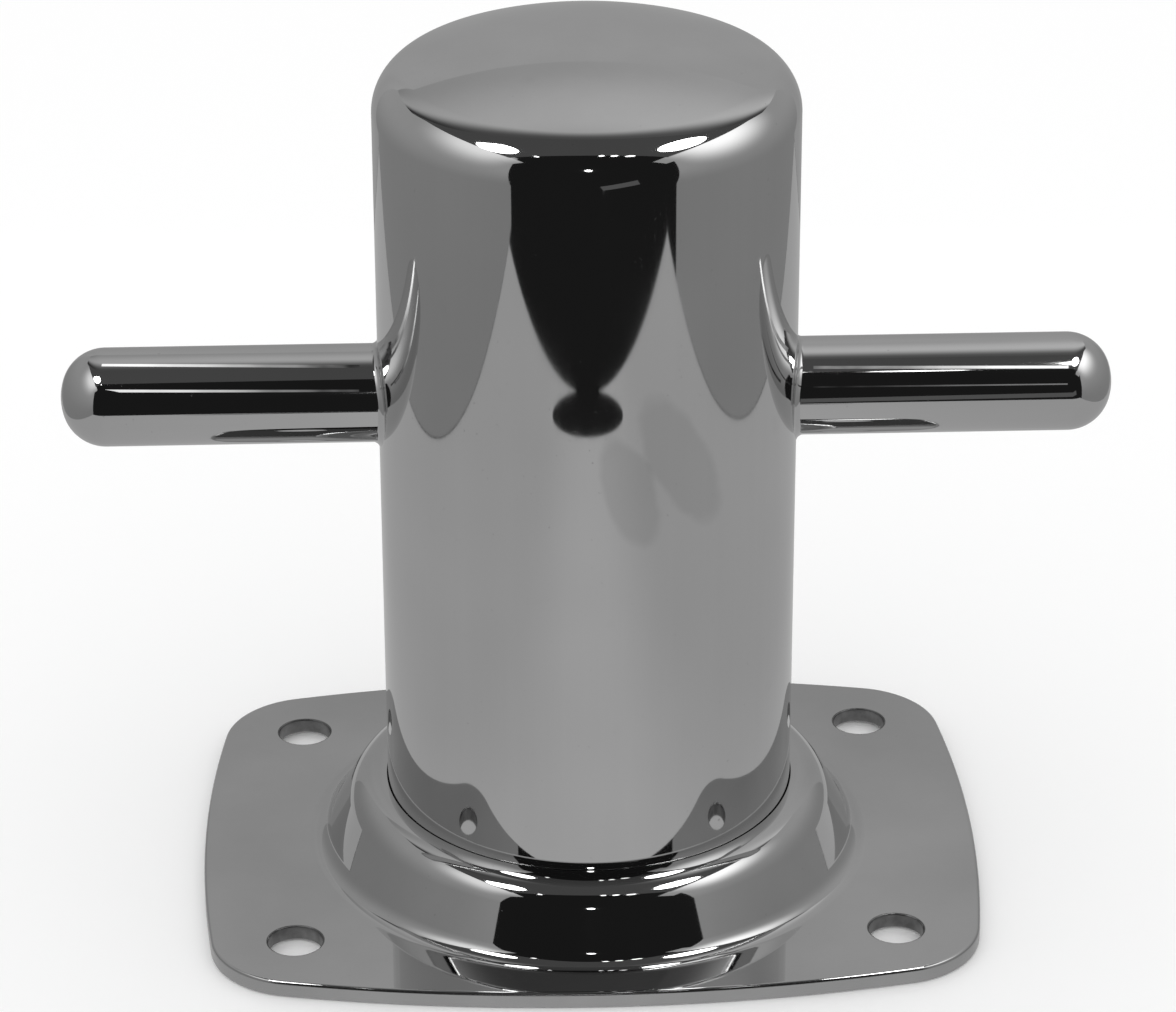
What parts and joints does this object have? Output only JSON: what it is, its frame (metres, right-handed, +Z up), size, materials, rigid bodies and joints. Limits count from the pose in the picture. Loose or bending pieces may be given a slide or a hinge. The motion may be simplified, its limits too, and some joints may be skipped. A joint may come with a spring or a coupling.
{
  "type": "bollard post",
  "caption": "Polished steel mooring bollard: a round post with a dished head and a horizontal cross pin, welded to a rounded base flange with a raised boss and bolt holes.",
  "frame": {"origin": "on the deck plane, on the axis of the post", "axes": "+X along the cross pin, +Y towards the back edge of the flange, +Z up along the post"},
  "size_m": [0.191, 0.1182, 0.164],
  "materials": {
    "polished_steel": "mirror polished",
    "dressed_weld": "ground and polished",
    "weld_metal": "as welded"
  },
  "bodies": {
    "root": {"base_flange": "polished_steel", "post_tube": "polished_steel", "head_cap": "polished_steel", "cross_pin": "polished_steel", "head_weld": "weld_metal", "foot_weld": "weld_metal", "pin_weld_left": "dressed_weld", "pin_weld_right": "dressed_weld"}
  },
  "joints": []
}
